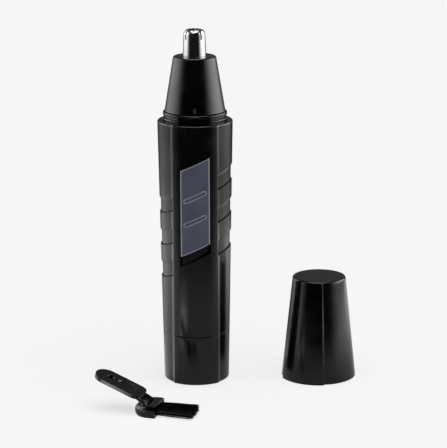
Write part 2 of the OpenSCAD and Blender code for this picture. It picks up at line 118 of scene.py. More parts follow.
def soft_max(a, b, k):
    return -soft_min(-a, -b, k)


def spaced(low, high, count):
    """Both ends and the even steps between them, in count gaps."""
    return [low + (high - low) * i / count for i in range(count + 1)]


# ------------------------------------------------------------------ meshes

def make_object(name, bm, sharp_angle=38):
    """Turns a bmesh in millimetres into a smooth object in metres, with its faces looking outwards."""
    bmesh.ops.remove_doubles(bm, verts=bm.verts, dist=1e-5)
    bmesh.ops.recalc_face_normals(bm, faces=bm.faces)
    if bm.calc_volume(signed=True) < 0:
        bmesh.ops.reverse_faces(bm, faces=bm.faces)
    bmesh.ops.scale(bm, vec=(MM, MM, MM), verts=bm.verts)
    mesh = bpy.data.meshes.new(name)
    bm.to_mesh(mesh)
    bm.free()
    mesh.shade_smooth()
    mesh.set_sharp_from_angle(angle=math.radians(sharp_angle))
    piece = bpy.data.objects.new(name, mesh)
    bpy.context.scene.collection.objects.link(piece)
    return piece


def loft(bm, rings, closed_path=False):
    """Skins a list of equally long closed rings; a ring of one point is a pole."""
    loops = [[bm.verts.new(p) for p in ring] for ring in rings]
    pairs = list(zip(loops, loops[1:]))
    if closed_path:
        pairs.append((loops[-1], loops[0]))
    for low, high in pairs:
        count = max(len(low), len(high))
        for j in range(count):
            k = (j + 1) % count
            if len(low) == 1:
                bm.faces.new((low[0], high[k], high[j]))
            elif len(high) == 1:
                bm.faces.new((low[j], low[k], high[0]))
            else:
                bm.faces.new((low[j], low[k], high[k], high[j]))


def arc(cx, cy, radius, start, end, steps):
    """Points of an arc in a profile, angles in degrees."""
    return [
        (cx + radius * math.cos(math.radians(a)), cy + radius * math.sin(math.radians(a)))
        for a in spaced(start, end, steps)
    ]


def turned(bm, profile, sides=128):
    """Turns a profile of (radius, height) about Z. Points at radius 0 become poles."""
    rings = []
    for radius, height in profile:
        if radius < 1e-6:
            rings.append([(0, 0, height)])
        else:
            rings.append([
                (radius * math.cos(a), radius * math.sin(a), height)
                for a in spaced(0, 2 * math.pi, sides)[:-1]
            ])
    loft(bm, rings)


def apply_modifiers(piece):
    """Bakes a piece's modifiers into its mesh."""
    depsgraph = bpy.context.evaluated_depsgraph_get()
    mesh = bpy.data.meshes.new_from_object(piece.evaluated_get(depsgraph))
    piece.modifiers.clear()
    old = piece.data
    piece.data = mesh
    bpy.data.meshes.remove(old)


def cut(piece, cutter_bm, operation="DIFFERENCE", sharp_angle=38):
    """Cuts or joins a closed bmesh (millimetres) with a piece."""
    cutter = make_object("cutter", cutter_bm)
    modifier = piece.modifiers.new("cut", "BOOLEAN")
    modifier.operation = operation
    modifier.solver = "EXACT"
    modifier.object = cutter
    bpy.context.view_layer.update()
    apply_modifiers(piece)
    bpy.data.objects.remove(cutter)
    piece.data.set_sharp_from_angle(angle=math.radians(sharp_angle))


def box_bm(low, high, matrix=None):
    """A closed box between two corners, then moved by the matrix."""
    bm = bmesh.new()
    bmesh.ops.create_cube(bm, size=1)
    low, high = Vector(low), Vector(high)
    for v in bm.verts:
        v.co = Vector(low[i] + (high[i] - low[i]) * (v.co[i] + 0.5) for i in range(3))
    if matrix:
        bm.transform(matrix)
    return bm


def prism_bm(outline, low, high):
    """A closed prism of an outline in XY between two heights."""
    bm = bmesh.new()
    loft(bm, [[(x, y, low) for x, y in outline], [(x, y, high) for x, y in outline]])
    bm.verts.ensure_lookup_table()
    count = len(outline)
    bm.faces.new([bm.verts[i] for i in reversed(range(count))])
    bm.faces.new([bm.verts[count + i] for i in range(count)])
    return bm


# ------------------------------------------------------------------ body cross-section

# Places of the columns across the front, close together at the button's sides and the panel's bevel
FRONT_X = (
    spaced(0, 4.2, 4) + [4.7, 5.1, 5.3, 5.39, 5.44, 5.48, 5.53, 5.62, 5.8, 6.2, 6.7, 7.2, 7.5]
    + spaced(7.72, 8.12, 5) + [8.24, 8.34] + spaced(8.42, 8.82, 5) + [8.95, 9.2, 9.6]
)
BACK_STEPS = 76


def columns():
    """Column keys round a body: an x across the front, or a share of the way round the back."""
    front = sorted([-x for x in FRONT_X[1:]] + FRONT_X)
    back = [i / BACK_STEPS for i in range(1, BACK_STEPS)]
    return [("x", x) for x in front] + [("t", t) for t in back]


def column_angle(key, radius):
    """Angle of a column from the front, positive towards +X."""
    kind, value = key
    side = math.asin(FRONT_X[-1] / radius)
    if kind == "x":
        return math.asin(value / radius)
    return side + value * (2 * math.pi - 2 * side)


def panel_depth(x, radius, proud):
    """Distance in front of the axis of the body's skin at x, with the proud panel and its bevels."""
    x = abs(x)
    plain = math.sqrt(max(radius * radius - x * x, 0.0))
    if proud <= 0:
        return plain
    outer = radius + proud
    high = math.sqrt(outer * outer - x * x)
    edge_depth = math.sqrt(outer * outer - PANEL_EDGE * PANEL_EDGE)
    foot_depth = math.sqrt(radius * radius - PANEL_FOOT * PANEL_FOOT)
    bevel = edge_depth + (foot_depth - edge_depth) * (x - PANEL_EDGE) / (PANEL_FOOT - PANEL_EDGE)
    return soft_max(soft_min(high, bevel, 0.3), plain, 0.22)


def body_point(key, z, radius, proud, sunk=0.0):
    """A point of the skin: radius without the panel, proud with it; sunk is taken off along the radius."""
    if key[0] == "x":
        x = key[1]
        depth = panel_depth(x, radius, proud)
        scale = 1 - sunk / math.hypot(x, depth)
        return (x * scale, -depth * scale, z)
    a = column_angle(key, radius)
    r = radius - sunk
    return (r * math.sin(a), -r * math.cos(a), z)


COLUMNS = columns()


def plain_ring(z, radius, bump=None):
    """A ring with the body's columns on a circle; bump(angle) adds to the radius."""
    ring = []
    for key in COLUMNS:
        a = column_angle(key, SHOULDER_R)
        r = radius + (bump(a) if bump else 0)
        ring.append((r * math.sin(a), -r * math.cos(a), z))
    return ring


def skin_ring(z, off=0.0):
    """A level ring of the body's skin with its panel, moved outwards by off."""
    return [body_point(key, z, skin_r(z) + off, PANEL_PROUD) for key in COLUMNS]


def angle_gap(a, centre):
    """Distance in degrees between two angles."""
    return abs((math.degrees(a) - centre + 180) % 360 - 180)


# ------------------------------------------------------------------ housing

WELL_HALF = BUTTON_HALF + 0.25
WELL_LOW = BUTTON_Z - TRAVEL - 0.2
WELL_HIGH = BUTTON_TOP + 0.2
WELL_DEPTH = PANEL_PROUD + 0.4
RIM = 0.55                  # rounding of the shoulder
WALL_SIDE, WALL_END = 0.06, 0.05    # half the width over which the well's side and end walls drop

# Steps of the rows round a grip band's ledge, round its soft upper end, and round the well's two ends
LEDGE_STEPS = (-1.2, -0.5, -0.18, -0.07, -0.03, 0, 0.03, 0.06, 0.12, 0.18, 0.25, 0.32, 0.38, 0.5, 1.2, 2.4, 3.6)
LAND_STEPS = (-0.7, -0.4, -0.15, 0.05, 0.2, 0.35, 0.5, 0.65, 0.8, 1.1, 2.2, 3.6)
WELL_STEPS = (-0.35, -0.15, -0.07, -0.035, 0, 0.035, 0.07, 0.15, 0.35)


def shear(w):
    """How much of the slant a row takes: none at the ends, all of it along the grip and the button."""
    return ramp(w, 20.5, 42.5) * (1 - ramp(w, 83.2, SHOULDER_Z - 0.9))


def well_mask(x, w):
    """Depth share of the well that the button slides in."""
    across = 1 - ramp(abs(x), WELL_HALF - WALL_SIDE, WELL_HALF + WALL_SIDE)
    above_foot = ramp(w, WELL_LOW - WALL_END, WELL_LOW + WALL_END)
    below_top = 1 - ramp(w, WELL_HIGH - WALL_END, WELL_HIGH + WALL_END)
    return across * above_foot * below_top


def grip_mask(key, w):
    """Depth share of the grip bands: a sharp ledge below and a rounded land above."""
    if key[0] == "x" and abs(key[1]) < PANEL_EDGE - 0.1:
        return 0.0
    across = 1.0 if key[0] == "t" else ramp(abs(key[1]), PANEL_EDGE, PANEL_FOOT + 0.1)
    along = 0.0
    for ledge in GRIP_LEDGES:
        up = ramp(w, ledge - 0.04, ledge + 0.07)
        down = 1 - ramp(w, ledge + GRIP_HEIGHT - 0.35, ledge + GRIP_HEIGHT + 0.75)
        along = max(along, up * down)
    return across * along


def ledge_crease(key, w):
    """Depth share of the crease along the foot of each band."""
    if key[0] == "x" and abs(key[1]) < PANEL_EDGE:
        return 0.0
    across = 1.0 if key[0] == "t" else ramp(abs(key[1]), PANEL_EDGE, PANEL_FOOT)
    nearest = min(GRIP_LEDGES, key=lambda ledge: abs(w - ledge - 0.15))
    rise = (w - nearest) / CREASE_WIDTH
    return across * (math.sin(math.pi * rise) if 0 < rise < 1 else 0.0)


def housing_rows():
    """Heights of the rows on the centre line, close together where the skin has an edge."""
    rows = spaced(18.6, 42, 8) + [95.1]
    for ledge in GRIP_LEDGES:
        rows += [ledge + step for step in LEDGE_STEPS]
        rows += [ledge + GRIP_HEIGHT + step for step in LAND_STEPS]
    for end in (WELL_LOW, WELL_HIGH):
        rows += [end + step for step in WELL_STEPS]
    rows = sorted(rows + spaced(79.5, 94.6, 12))
    closest = 0.028
    kept = [rows[0]]
    for w in rows[1:]:
        if w - kept[-1] > closest:
            kept.append(w)
    return kept


def housing_skin_ring(w):
    """The row of the housing's skin that crosses the centre line at height w."""
    ring = []
    for key in COLUMNS:
        radius = skin_r(w)
        x = key[1] if key[0] == "x" else radius * math.sin(column_angle(key, radius))
        z = w + shear(w) * SLANT * x
        radius = skin_r(z)
        sunk = GRIP_DEPTH * grip_mask(key, w) + CREASE_DEPTH * ledge_crease(key, w)
        if key[0] == "x":
            sunk += WELL_DEPTH * well_mask(x, w)
        px, py, _ = body_point(key, z, radius, PANEL_PROUD, sunk)
        ring.append((px, py, z))
    return ring


POCKETS = (45, 165, 285)    # the three locking pockets, in degrees from the front


def pocket(a):
    """Depth of the locking pockets in the wall at an angle."""
    depth, reach = 0.55, 26
    return depth if min(angle_gap(a, c) for c in POCKETS) < reach else 0.0


def build_housing():
    low, top = PARTING_Z + 0.05, SHOULDER_Z
    outer = [skin_ring(z, off) for off, z in arc(-0.2, low + 0.2, 0.2, -90, 0, 3)]
    outer += [housing_skin_ring(w) for w in housing_rows()]
    outer += [skin_ring(z, off) for off, z in arc(-RIM, top - RIM, RIM, 0, 90, 6)]
    lip = COLLAR_HIGH.z - 4.7       # underside of the flange that holds the neck
    inner = [
        plain_ring(top, 11.35), plain_ring(top - 0.06, 11.2), plain_ring(top - 0.25, 11.15),
        plain_ring(lip, 11.15), plain_ring(lip, skin_r(lip) - WALL),
        plain_ring(60, skin_r(60) - WALL), plain_ring(22.6, skin_r(22.6) - WALL),
        plain_ring(22.4, skin_r(22.4) - WALL, pocket),
        plain_ring(low + 0.15, skin_r(low) - WALL, pocket),
        plain_ring(low, skin_r(low) - WALL + 0.12, pocket),
    ]
    bm = bmesh.new()
    loft(bm, outer + inner, closed_path=True)
    piece = make_object("housing_shell", bm)
    play = 0.3
    cut(piece, box_bm((-2.1, -16, STEM_LOW - TRAVEL - play), (2.1, -9, STEM_HIGH + play)))
    return piece


# ------------------------------------------------------------------ base

LUGS = (60, 180, 300)       # the base's three locking lugs, in degrees from the front


def lug(a):
    """How far the locking lugs stand out of the spigot at an angle."""
    return 0.6 * (1 - ramp(min(angle_gap(a, c) for c in LUGS), 8.5, 10.5))


def build_base():
    top = PARTING_Z - 0.05
    foot, seat, bore = 0.6, 9.95, 9.5       # rounding of the foot, the seal's groove, the spigot's bore
    rings = [[(0, 0, 0)]]
    for share in (0.3, 0.6, 0.85):
        rings.append([(x * share, y * share, 0.0) for x, y, _ in skin_ring(0, -foot)])
    rings += [skin_ring(z, off + (skin_r(foot) - skin_r(z))) for off, z in arc(-foot, foot, foot, -90, 0, 10)]
    rings += [skin_ring(z) for z in spaced(2.4, top - 1.2, 6)]
    rings += [skin_ring(z, off) for off, z in arc(-0.2, top - 0.2, 0.2, 0, 90, 4)]
    spigot = 10.4
    rings += [
        plain_ring(top, spigot + 0.1), plain_ring(top + 0.1, spigot),
        plain_ring(18.75, spigot), plain_ring(18.8, spigot - 0.05), plain_ring(18.82, seat),
        plain_ring(19.78, seat), plain_ring(19.8, spigot - 0.05), plain_ring(19.85, spigot),
        plain_ring(20.55, spigot), plain_ring(20.62, spigot, lug), plain_ring(21.9, spigot, lug),
        plain_ring(22.0, spigot - 0.05, lug), plain_ring(22.05, spigot), plain_ring(22.2, spigot),
        plain_ring(22.3, spigot - 0.12), plain_ring(22.3, bore + 0.12), plain_ring(22.2, bore),
        plain_ring(14.4, bore), plain_ring(14.3, bore + 0.1), plain_ring(14.3, 10.1), plain_ring(2.3, 10.1),
    ]
    rings += [plain_ring(z, r) for r, z in arc(9.6, 2.3, 0.5, 0, -90, 3)]
    rings += [plain_ring(1.8, 6), plain_ring(1.8, 3), [(0, 0, 1.8)]]
    bm = bmesh.new()
    loft(bm, rings)
    return make_object("base_cup", bm)


# ------------------------------------------------------------------ neck

NECK_R = 11.0
KEY_HALF = 32       # half the width of the front key, in degrees
KEY_FLAT = 11.85    # distance of the key's flat front from the axis
KEY_ROWS = [96.1, 96.14, 96.18, 96.22, 96.3, 98.3, 98.36, 98.42, 98.48, 98.54, 98.6]    # rows at its two ends


def neck_bump(height, plain):
    """What the front key adds to the neck's radius at a height."""
    share = ramp(height, 96.1, 96.25) * (1 - ramp(height, 98.35, 98.55))

    def bump(a):
        gap = angle_gap(a, 0)
        inside = 1 - ramp(gap, KEY_HALF - 1.2, KEY_HALF + 0.2)
        target = min(12.15, KEY_FLAT / max(math.cos(a), 0.5))
        return share * inside * max(target - plain, 0.0)

    return bump


def neck_ring(z, radius):
    """A ring of the neck with columns close together at the ends of the key."""
    bump = neck_bump(z, radius)
    reach = [(a, radius + bump(a)) for a in NECK_ANGLES]
    return [(r * math.sin(a), -r * math.cos(a), z) for a, r in reach]


def neck_angles():
    half = spaced(0, 29, 10) + [30, 30.6, 31, 31.4, 31.8, 32.2, 32.8, 34] + spaced(37, 180, 40)
    half = [math.radians(a) for a in half]
    return sorted(set([round(-a, 6) for a in half[1:-1]] + [round(a, 6) for a in half]))


NECK_ANGLES = neck_angles()


def build_neck():
    r, flange = NECK_R, 11.75
    profile = [(9.6, 92.4), (9.6, 98.95)] + arc(9.85, 98.95, 0.25, 180, 90, 3)
    profile += arc(11.12, 98.8, 0.4, 90, 0, 5) + arc(11.22, 98.2, 0.3, 0, -80, 4)
    profile += [(r + 0.04, 97.88), (r, 97.8), (r, 97.25)] + arc(11.2, 96.75, 0.4, 70, -70, 8)
    profile += [(r, 96.3), (r, 96.15), (r, 95.4), (r, 94.52), (flange - 0.05, 94.5), (flange, 94.45)]
    profile += [(flange, 91.25), (flange - 0.05, 91.2), (3.6, 91.2), (3.6, 92.4)]
    path = []
    for (r0, z0), (r1, z1) in zip(profile, profile[1:]):
        path.append((r0, z0))
        if min(r0, r1) > r - 0.1:
            between = [z for z in KEY_ROWS if min(z0, z1) + 1e-4 < z < max(z0, z1) - 1e-4]
            for z in sorted(between, reverse=z1 < z0):
                path.append((r0 + (r1 - r0) * (z - z0) / (z1 - z0), z))
    path.append(profile[-1])
    bm = bmesh.new()
    loft(bm, [neck_ring(z, radius) for radius, z in path], closed_path=True)
    piece = make_object("neck", bm)
    post = 7.35         # the two holes for the guard holder's posts
    for side in (-1, 1):
        cut(piece, box_bm((side * post - 0.7, -1.4, 90), (side * post + 0.7, 1.4, 93)))
    return piece


def build_neck_mark():
    """The raised dash over the middle of the key."""
    bm = box_bm((-1.4, -11.98, 98.42), (1.4, -11.2, 98.98))
    bmesh.ops.bevel(bm, geom=bm.edges[:], offset=0.22, segments=3, affect="EDGES", profile=0.6)
    return make_object("neck_mark", bm)


# ------------------------------------------------------------------ head

RIB_HALF, RIB_PROUD = 0.24, 0.17    # the small marker rib in front
CONE_WALL = 1.3
HEAD_LUGS = (0, 120, 240)           # the head's three locking lugs, in degrees from the front


def cone_r(z):
    """Radius of the cone at a height."""
    foot = CONE_HIGH.x
    return foot + (CONE_TOP_R - foot) * (z - CONE_FOOT_Z) / (CONE_HIGH.z - CONE_FOOT_Z)


def cone_angles():
    """Bearings of the cone's columns, close together at the marker rib in front."""
    front = [0, 0.08, 0.16, 0.22, 0.28, 0.34, 0.4, 0.5, 0.7, 1.2] + spaced(2, 9, 7)
    front = [math.asin(x / CONE_HIGH.x) for x in front]
    back = spaced(front[-1], 2 * math.pi - front[-1], 84)[1:-1]
    return [-a for a in reversed(front[1:])] + front + back


def build_cone():
    top = CONE_HIGH.z
    angles = cone_angles()

    def ring(radius, z, rib=0.0, lugs=0.0):
        points = []
        for a in angles:
            r = radius
            if rib and math.cos(a) > 0:
                r += rib * (1 - ramp(abs(radius * math.sin(a)), RIB_HALF - 0.16, RIB_HALF + 0.12))
            if lugs:
                r += lugs * (1 - ramp(min(angle_gap(a, c) for c in HEAD_LUGS), 8.5, 10))
            points.append((r * math.sin(a), -r * math.cos(a), z))
        return points

    foot = CONE_FOOT_Z
    rings = [ring(r, z) for r, z in arc(cone_r(foot) - 0.2, foot + 0.2, 0.2, -90, -5, 4)]
    for z in (99.6, 99.7, 99.8, 99.95, 100.3, 100.9, 101.5, 101.8, 101.95, 102.1, 102.25):
        share = ramp(z, 99.62, 99.95) * (1 - ramp(z, 101.7, 102.2))
        rings.append(ring(cone_r(z), z, RIB_PROUD * share))
    rings += [ring(cone_r(z), z) for z in spaced(103.2, top - 1.2, 8)]
    rings += [ring(r, z) for r, z in arc(cone_r(top) - 0.68, top - 0.8, 0.8, 8, 90, 9)]
    rings += [ring(6, top), ring(4.5, top)]
    rings += [ring(r, z) for r, z in arc(4.47, top - 0.22, 0.22, 90, 180, 3)]
    step, inner_foot = 110.5, 100.1
    rings += [ring(4.25, step), ring(cone_r(step) - CONE_WALL, step)]
    rings += [ring(cone_r(inner_foot) - CONE_WALL, inner_foot)]
    spigot, bore, groove = 9.4, 8.1, 8.85
    rings += [ring(bore, inner_foot), ring(bore, 94.75), ring(bore + 0.15, 94.6)]
    rings += [ring(spigot - 0.15, 94.6), ring(spigot, 94.75), ring(spigot, 94.98)]
    rings += [ring(spigot, 95.04, lugs=0.8), ring(spigot, 96.36, lugs=0.8), ring(spigot, 96.42)]
    rings += [ring(spigot, 97.58), ring(groove, 97.6), ring(groove, 98.6), ring(spigot, 98.62)]
    rings.append(ring(spigot, foot))
    bm = bmesh.new()
    loft(bm, rings, closed_path=True)
    return make_object("cone_shell", bm)


SLOTS, FIRST_SLOT = 8, -96          # their number, and the bearing of the first from +X, in degrees
SLOT_HALF, SLOT_FOOT = 0.34, 125.4


def build_guard():
    """The slotted steel guard: a thin tube with a domed tip and a flange at its foot."""
    foot_r, shoulder_r, tip, tip_r, wall = 4.17, 3.875, GUARD_HIGH.z, 2.0, 0.3
    low, bend = GUARD_LOW.z, CONE_HIGH.z
    dome = arc(shoulder_r - tip_r, tip - tip_r, tip_r, 0, 90, 14)
    outer = [(GUARD_HIGH.x, low), (GUARD_HIGH.x, low + wall), (foot_r + 0.15, low + wall)]
    outer += [(foot_r, low + 0.45), (foot_r, bend)] + dome + [(0.8, tip), (0, tip)]
    dome = arc(shoulder_r - tip_r, tip - tip_r, tip_r - wall, 90, 0, 12)
    inner = [(0, tip - wall), (0.8, tip - wall)] + dome
    inner += [(foot_r - wall, bend), (foot_r - wall, low), outer[0]]
    bm = bmesh.new()
    turned(bm, outer)
    turned(bm, inner)
    piece = make_object("guard_tube", bm, 30)
    for i in range(SLOTS):
        turn = Matrix.Rotation(math.radians(i * 360 / SLOTS + FIRST_SLOT), 4, "Z")
        cut(piece, box_bm((1.1, -SLOT_HALF, SLOT_FOOT), (6, SLOT_HALF, tip + 1), turn), sharp_angle=30)
        foot = bmesh.new()
        bmesh.ops.create_cone(foot, cap_ends=True, segments=20, radius1=SLOT_HALF, radius2=SLOT_HALF, depth=5)
        across = Matrix.Translation((4.5, 0, SLOT_FOOT)) @ Matrix.Rotation(math.pi / 2, 4, "Y")
        foot.transform(turn @ across)
        cut(piece, foot, sharp_angle=30)
    return piece


# ------------------------------------------------------------------ switch button

BUTTON_BEVEL = 0.34
OVAL_ENDS = [((-3.3, foot), (3.3, foot + 3)) for foot in (68.95, 60.2)]    # middle lines of the two ovals
OVAL_R, OVAL_LINE = 0.68, 0.2           # half their width, and half the width of their raised line


def oval_crest(x, z):
    """How far a point is up one of the two raised oval outlines: 1 on the crest, 0 off it."""
    p, best = Vector((x, z)), 9.0
    for start, end in OVAL_ENDS:
        start, end = Vector(start), Vector(end)
        share = (p - start).dot(end - start) / (end - start).length_squared
        nearest = start + (end - start) * min(1.0, max(0.0, share))
        best = min(best, abs((p - nearest).length - OVAL_R))
    return 1 - ramp(best, 0.02, OVAL_LINE)


def fine_steps(low, high, pitch):
    """Steps from low to high, closer together along the two ends."""
    near = [0, 0.06, 0.14, 0.24, 0.34, 0.42, 0.5, 0.62]
    middle = spaced(low + 0.72, high - 0.72, int((high - low) / pitch))
    return [low + d for d in near] + middle + [high - d for d in reversed(near)]


def build_button():
    """The slanted button: a plate with a narrow bevel all round and two raised oval outlines, with a highlight
    painted as a lighter colour along the bevel and the outlines.
    """
    low, high, half = BUTTON_Z, BUTTON_TOP, BUTTON_HALF
    xs, ws = fine_steps(-half, half, 0.15), fine_steps(low, high, 0.15)
    bm = bmesh.new()
    # Painted highlight: each vertex's share of a lighter colour, full along the bevel and the oval crests.
    highlight_paint = bm.verts.layers.float.new("painted_edge_highlight")

    def sheet(depth):
        grid = []
        for w in ws:
            row = []
            for x in xs:
                r, value = depth(x, w)
                v = bm.verts.new((x, -math.sqrt(r * r - x * x), w + SLANT * x))
                v[highlight_paint] = value
                row.append(v)
            grid.append(row)
        return grid

    def face(x, w):
        inset = min(x + half, half - x, w - low, high - w)
        z = w + SLANT * x
        crest = oval_crest(x, z)
        drop = 0.3 * (1 - min(inset / BUTTON_BEVEL, 1.0)) + 0.06 * (1 - ramp(inset, 0, 0.1))
        r = skin_r(z) + PANEL_PROUD + 0.25 - drop + 0.22 * crest
        # The second value is the painted highlight, full on the bevel and the oval crests.
        return r, max(1 - ramp(inset, BUTTON_BEVEL * 0.75, BUTTON_BEVEL * 1.15), crest)

    front = sheet(face)
    back = sheet(lambda x, w: (skin_r(w + SLANT * x) - 0.35, 0.0))
    rows, cols = len(ws), len(xs)
    for i in range(rows - 1):
        for j in range(cols - 1):
            bm.faces.new((front[i][j], front[i][j + 1], front[i + 1][j + 1], front[i + 1][j]))
            bm.faces.new((back[i][j], back[i + 1][j], back[i + 1][j + 1], back[i][j + 1]))
    rim = [(0, j) for j in range(cols)] + [(i, cols - 1) for i in range(1, rows)]
    rim += [(rows - 1, j) for j in reversed(range(cols - 1))]
    rim += [(i, 0) for i in reversed(range(1, rows - 1))]
    for (i, j), (k, m) in zip(rim, rim[1:] + rim[:1]):
        bm.faces.new((front[i][j], front[k][m], back[k][m], back[i][j]))
    piece = make_object("button_plate", bm, 50)
    stem = make_object("button_stem", box_bm((-1.6, -13, STEM_LOW), (1.6, -10.55, STEM_HIGH)))
    return piece, stem


# ------------------------------------------------------------------ cap

CAP_MOUTH_R = SHOULDER_R
CAP_TOP_R = 9.65
CAP_TURN = math.radians(-32.5)
CAP_AXIS = (CAP_HIGH.x - CAP_MOUTH_R, CAP_HIGH.y - CAP_MOUTH_R)
CAP_FADE = 0.25     # how far the cap's panel still stands proud at its closed end
CAP_WALL = 1.3
RIDGE = 0.045       # width of the ridge along each side of the panel, as an angle


def cap_r(z):
    """Radius of the cap at a height."""
    return CAP_MOUTH_R + (CAP_TOP_R - CAP_MOUTH_R) * z / CAP_HIGH.z


def cap_wall_angle(radius, z):
    """Angle at which the side wall of the cap's panel meets a radius. The walls draw in towards the top."""
    depth, middle, slope, draw_in = 10.77, 8.2, 2.12, 0.0634
    low, high = math.radians(15), math.radians(60)
    for _ in range(30):
        a = (low + high) / 2
        wall = depth + slope * (radius * math.sin(a) - middle) + draw_in * z
        if radius * math.cos(a) > wall:
            low = a
        else:
            high = a
    return low


def cap_ring(z, off):
    """A ring of the cap's skin, with the proud panel in front."""
    plain = cap_r(z) + off
    proud = PANEL_PROUD + (CAP_FADE - PANEL_PROUD) * z / CAP_HIGH.z
    edge = cap_wall_angle(cap_r(z) + proud, z)
    foot = cap_wall_angle(cap_r(z), z) + RIDGE
    half = [(edge * u, 1.0) for u in spaced(0, 0.92, 14) + [0.96, 0.985]]
    half += [(edge + (foot - edge) * v, 1 - smooth(v)) for v in spaced(0, 1, 6)]
    half += [(foot + (math.pi - foot) * t, 0.0) for t in (0.006, 0.014)]
    half += [(foot + (math.pi - foot) * t, 0.0) for t in spaced(0.03, 1, 44)]
    left = [(-a, share) for a, share in reversed(half[1:-1])]
    return [
        ((plain + proud * share) * math.sin(a), -(plain + proud * share) * math.cos(a), z)
        for a, share in left + half
    ]


def build_cap():
    top, rim = CAP_HIGH.z, 0.65
    rings = [cap_ring(0.0, -0.15), cap_ring(0.05, -0.05), cap_ring(0.15, 0)]
    rings += [cap_ring(z, 0) for z in spaced(1.2, top - rim - 0.5, 16)]
    rings += [cap_ring(z, off) for off, z in arc(-rim, top - rim, rim, 6, 90, 8)]
    outline = rings[-1]
    for share in (0.85, 0.6, 0.3):
        rings.append([(x * share, y * share, top) for x, y, _ in outline])
    rings.append([(0, 0, top)])
    angles = [math.atan2(x, -y) for x, y, _ in outline]

    def inner(radius, z, notch=0.0):
        points = []
        for a in angles:
            r = radius + notch * (1 - ramp(abs(math.degrees(a)), 34.4, 35.6))
            points.append((r * math.sin(a), -r * math.cos(a), z))
        return points

    wall, roof, mouth = CAP_WALL, top - 1.5, 11.75
    inside = [[(0, 0, roof)], inner(4, roof), inner(cap_r(top) - wall - 0.6, roof)]
    inside += [inner(cap_r(roof - 0.6) - wall, roof - 0.6), inner(cap_r(4) - wall, 4.05), inner(mouth, 3.2)]
    inside += [inner(mouth, 3.05), inner(mouth, 2.95, 0.7), inner(mouth, 0.15, 0.7)]
    inside.append(inner(mouth + 0.15, 0, 0.65))
    bm = bmesh.new()
    loft(bm, rings)
    loft(bm, inside + [rings[0]])
    bm.transform(Matrix.Translation((*CAP_AXIS, 0)) @ Matrix.Rotation(CAP_TURN, 4, "Z"))
    return make_object("cap_shell", bm, 34)


# ------------------------------------------------------------------ brush

BRUSH_TURN = math.radians(-15.4)
BRUSH_RISE = math.radians(20.4)
BRUSH_BEND = math.radians(-6)           # the handle points a little to one side
BRUSH_FRONT = -0.6                      # front face of the head, along the brush
BACK_R, BACK_X = 6.1, -3.2              # the head's round back
HANDLE_FOOT = (-6.85, 5.6)              # near end of the handle's underside: along the brush, and height
HANDLE_L, HANDLE_W, HANDLE_T = 18.8, 9.8, 1.2
HANDLE_CORNER, HANDLE_END = 2.6, 4.4    # radius at its near corners, reach of its round far end
HANG_X, HANG_R = 13.2, 1.5              # the hanging hole
POCKET = (3.4, 10.0, 2.3)               # shallow groove in the handle: from, to, half width
BRISTLE_TIP = 12.8
SLOT_LOW, SLOT_TOP, SLOT_SIDE = 0.5, 3.1, 4.4       # the bristles' slot in the head
FILAMENTS = 950

# The cranked neck, station by station from inside the head to inside the handle:
# place along the brush, height, half width, half thickness, and climb in degrees
NECK = [
    (-2.0, 2.9, 5.2, 0.9, 2), (-3.2, 3.0, 5.0, 1.0, 6), (-4.2, 3.3, 4.6, 1.15, 18),
    (-5.0, 3.75, 4.2, 1.25, 30), (-5.7, 4.35, 3.95, 1.2, 40), (-6.3, 4.95, 3.85, 1.05, 42),
    (-7.0, 5.5, 3.8, 0.8, 34), (-7.9, 5.98, 3.75, 0.6, 25), (-8.8, 6.4, 3.7, 0.48, 20.4),
    (-9.6, 6.7, 3.5, 0.4, 20.4),
]
# The head's rounded flank: height, and how far the outline is drawn in there
HEAD_RINGS = [
    (0, 0.6), (0.25, 0.3), (0.7, 0.06), (1.3, 0), (2.0, 0.04), (2.5, 0.2),
    (2.9, 0.5), (3.3, 0.9), (3.6, 1.5), (3.85, 2.1), (4.0, 2.7),
]


def handle_outline():
    """Outline of the flat handle, from its near end to its round far end."""
    half, corner = HANDLE_W / 2, HANDLE_CORNER
    outline = arc(corner, corner - half, corner, 180, 270, 10)
    for a in spaced(-math.pi / 2, math.pi / 2, 41):
        outline.append((HANDLE_L - HANDLE_END * (1 - math.cos(a)), half * math.sin(a)))
    return outline + arc(corner, half - corner, corner, 90, 180, 10)


def bevel_rims(bm, width):
    """Rounds the edges where walls meet flat ends."""
    edges = [e for e in bm.edges if len(e.link_faces) == 2 and e.calc_face_angle(0) > math.radians(50)]
    bmesh.ops.bevel(
        bm, geom=edges, offset=width, segments=3, affect="EDGES", profile=0.5, clamp_overlap=True
    )


def brush_place():
    """Puts the brush's own frame where the CAD brush lies."""
    turn = Matrix.Rotation(BRUSH_TURN, 4, "Z")
    low, high = node_box("brush_bristles")
    tips = [turn @ Vector((BRISTLE_TIP, side * 4.9, 0)) for side in (-1, 1)]
    shift = (high.x - max(t.x for t in tips), low.y - min(t.y for t in tips), 0)
    return Matrix.Translation(shift) @ turn


def close_ends(bm, count):
    """Closes the two open ends of a loft whose rings have this many points."""
    bm.verts.ensure_lookup_table()
    bm.faces.new(bm.verts[:count])
    bm.faces.new(bm.verts[-count:])
    bmesh.ops.recalc_face_normals(bm, faces=bm.faces[:])


def neck_bm():
    """The brush's cranked neck, with a rounded flat section."""
    sides = 48
    rings = []
    for x, z, half_w, half_t, climb in NECK:
        climb = math.radians(climb)
        ring = []
        for a in spaced(0, 2 * math.pi, sides)[:-1]:
            c, s = math.cos(a), math.sin(a)
            across = half_w * math.copysign(abs(c) ** 0.45, c)
            over = half_t * math.copysign(abs(s) ** 0.6, s)
            ring.append((x + over * math.sin(climb), across, z + over * math.cos(climb)))
        rings.append(ring)
    bm = bmesh.new()
    loft(bm, rings)
    close_ends(bm, len(rings[0]))
    return bm


